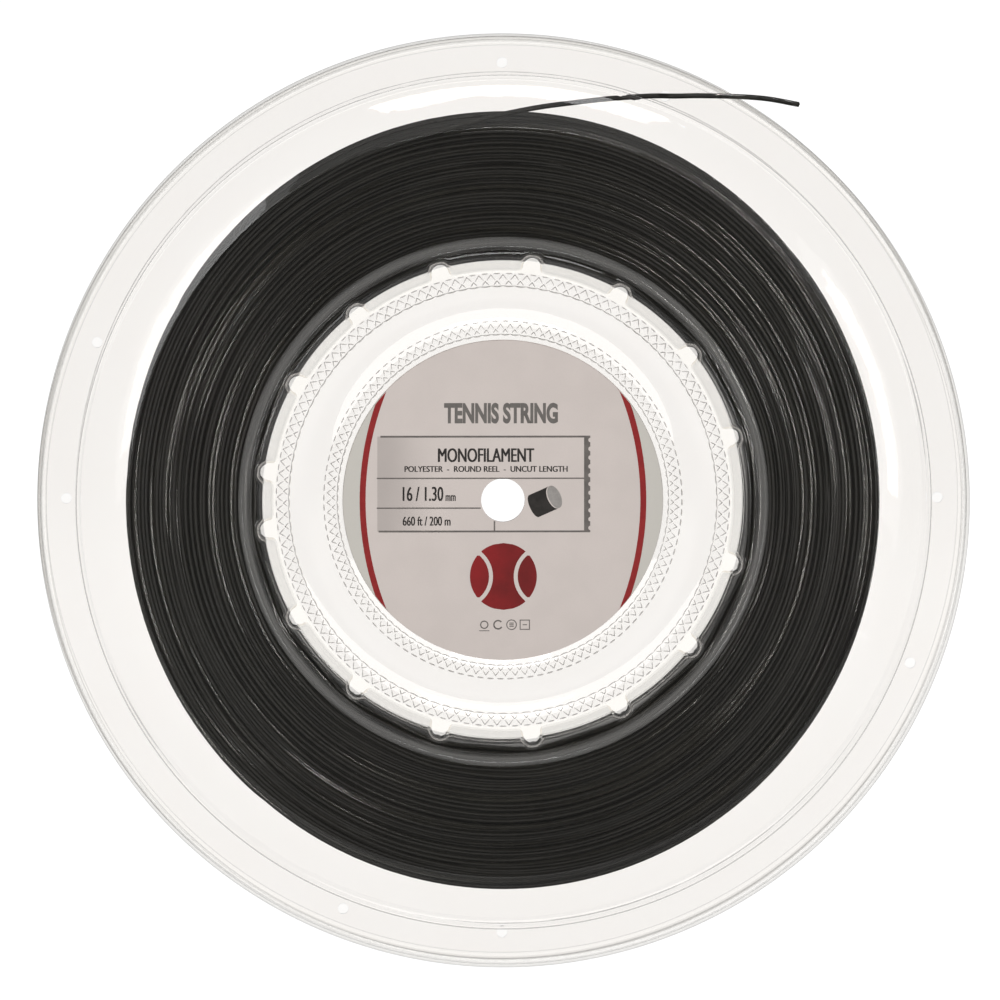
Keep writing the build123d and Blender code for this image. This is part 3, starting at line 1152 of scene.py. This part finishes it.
def floor_material():
    material, tree = new_material("pale_floor")
    grain = noise(tree, position_mm(tree), 0.01, 3.0)
    colour = mixed(tree, between(tree, grain, 0.3, 0.7), (0.80, 0.80, 0.80), (0.78, 0.78, 0.78))
    diffuse = add(tree, "ShaderNodeBsdfDiffuse", {"Color": colour}).outputs[0]
    level = surroundings(tree, 1.10, 0.07, 0.30)
    glow = add(tree, "ShaderNodeEmission", {"Color": (1.0, 1.0, 1.0), "Strength": level}).outputs[0]
    finish_material(tree, add(tree, "ShaderNodeMixShader", {0: 0.06, 1: glow, 2: diffuse}).outputs[0])
    return material


def build_world():
    """White surroundings, kept dark where the string and the sheet mirror them."""
    world = bpy.data.worlds.new("studio")
    bpy.context.scene.world = world
    world.use_nodes = True
    tree = world.node_tree
    tree.nodes.clear()
    level = surroundings(tree, 1.20, 0.07, 0.42)
    background = add(tree, "ShaderNodeBackground", {"Color": (1.0, 1.0, 1.0), "Strength": level})
    add(tree, "ShaderNodeOutputWorld", {0: background.outputs[0]})


def softbox(name, place, width, height, level, lit=None, strip=False, roll=0.0):
    """Rectangular lamp aimed at the reel; without a collection to light it is a fill with no highlight."""
    light = bpy.data.lights.new(name, "AREA")
    light.shape = "RECTANGLE"
    light.size = width
    light.size_y = height
    light.energy = level * math.pi * width * height
    made = bpy.data.objects.new(name, light)
    made.location = place
    made.rotation_mode = "QUATERNION"
    aimed = (-Vector(place)).to_track_quat("-Z", "Y")
    made.rotation_quaternion = aimed @ Quaternion((0.0, 0.0, 1.0), math.radians(roll))
    made.visible_camera = False
    made.visible_transmission = False
    made.visible_glossy = lit is not None
    bpy.context.scene.collection.objects.link(made)
    if lit is not None:
        made.visible_diffuse = False
        made.light_linking.receiver_collection = lit
        light.cycles.use_multiple_importance_sampling = not strip


def collected(name, pieces):
    """Collection of the pieces that a lamp lights."""
    made = bpy.data.collections.new(name)
    for one in pieces:
        made.objects.link(one)
    return made


def build_stage(strings, shells):
    """Floor, surroundings and lamps: some light only the string, others only the clear shells."""
    size = 60000
    ground = -128.2
    corners = [(-size, -size, ground), (size, -size, ground), (size, size, ground), (-size, size, ground)]
    floor = piece("floor", corners, [(0, 1, 2, 3)], floor_material(), False)
    floor.visible_glossy = False
    floor.visible_shadow = False
    build_world()
    string = collected("lit_strings", strings)
    edge = collected("lit_edge_strings", [one for one in strings if "outer" in one.name or "end" in one.name])
    sheet = collected("lit_sheets", shells)
    right_low = (0.81, -1.75, -0.54)
    left_low = (-0.68, -1.80, -0.33)
    softbox("softbox_right_low", right_low, 0.24, 0.66, 3.2, sheet, roll=-30.0)
    softbox("softbox_right_low_soft", right_low, 0.36, 0.84, 0.8, sheet, roll=-30.0)
    softbox("softbox_left_low", left_low, 0.14, 0.46, 4.0, sheet, roll=19.0)
    softbox("softbox_left_low_soft", left_low, 0.24, 0.62, 0.8, sheet, roll=19.0)
    softbox("softbox_low", (0.02, -1.88, -0.62), 0.36, 0.17, 5.5, sheet)
    softbox("strip_left", (-1.00, -1.72, -0.10), 0.12, 1.70, 165.0, string, strip=True)
    softbox("strip_right", (0.62, -1.90, 0.20), 0.10, 1.30, 190.0, string, strip=True)
    softbox("strip_above", (0.05, -0.90, 1.80), 1.10, 0.10, 230.0, edge, strip=True)
    softbox("strip_rear", (0.90, 1.72, 0.10), 0.16, 1.60, 110.0, string, strip=True)
    softbox("fill_front", (-0.45, -1.90, 0.95), 1.20, 1.00, 5.9)
    softbox("fill_rear", (0.50, 1.90, 1.00), 1.20, 1.00, 5.3)


def build_camera():
    """Long lens a little above the axis and a little to the left."""
    camera = bpy.data.objects.new("camera", bpy.data.cameras.new("camera"))
    bpy.context.scene.collection.objects.link(camera)
    camera.data.lens = 800
    camera.data.sensor_width = 36
    picture_width = 0.275
    distance = picture_width / camera.data.sensor_width * camera.data.lens
    azimuth = math.radians(-1.2)
    elevation = math.radians(3.0)
    level = math.cos(elevation)
    back = Vector((math.sin(azimuth) * level, -math.cos(azimuth) * level, math.sin(elevation)))
    camera.location = Vector((-0.0008, 0.0, 0.0)) + back * distance
    camera.rotation_mode = "QUATERNION"
    camera.rotation_quaternion = (-back).to_track_quat("-Z", "Y")
    camera.data.clip_start = 0.1
    camera.data.clip_end = 200
    bpy.context.scene.camera = camera


# ---------------------------------------------------------------- assembly

def repaint(node, material):
    """Gives a CAD node a better material."""
    for slot in NODES[node].material_slots:
        slot.link = "OBJECT"
        slot.material = material


def main():
    sheet = clear_material("clear_sheet", ((1.0, 0.987, 0.971), (0.998, 0.983, 0.966)))
    # The weld teeth's grey tint is painted shade: it darkens their edges into the dark lines the pressed
    # rings show
    welded = clear_material("clear_weld_painted_shade", ((0.62, 0.61, 0.60), (0.50, 0.49, 0.48)), 0.02, 0.25)
    string_colours = ((0.0115, 0.0107, 0.0084), (0.019, 0.0179, 0.0145))
    string = string_material("polyester_string", string_colours, (0.12, 0.46))
    core = string_material("polyester_core", ((0.010, 0.010, 0.009), (0.014, 0.014, 0.013)), (0.45, 0.62))
    paper = label_material("label_paper_print")
    inks = {
        "grey": ink_material("ink_grey", (0.15, 0.135, 0.125), (0.20, 0.18, 0.165)),
        "heading": ink_material("ink_heading", (0.165, 0.15, 0.14), (0.20, 0.185, 0.17)),
        "dark": ink_material("ink_dark", (0.028, 0.025, 0.023), (0.045, 0.04, 0.037)),
        "red": ink_material("ink_red", (0.30, 0.022, 0.024), (0.36, 0.03, 0.03)),
        "emblem": ink_material("ink_emblem", (0.17, 0.018, 0.018), (0.31, 0.02, 0.022), 0.05),
        "facet": ink_material("ink_facet", (0.33, 0.31, 0.29), (0.42, 0.39, 0.37)),
    }
    repaint("front_label", paper)
    repaint("rear_label", paper)
    on_reel = build_winding(string)
    on_reel.append(build_core(core))
    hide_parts("string_coil")
    shells = [build_shell("front", sheet), build_shell("rear", sheet)]
    on_reel += shells
    on_reel += build_knurls(welded)
    on_reel += build_print(inks)
    for made in on_reel:
        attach(made, "reel")
    strings = [made for made in on_reel if made.name.startswith("winding")]
    strings.append(build_tail(string))
    build_stage(strings, shells)
    build_camera()
    scene = bpy.context.scene
    scene.view_settings.view_transform = "Standard"
    scene.view_settings.look = "None"


main()
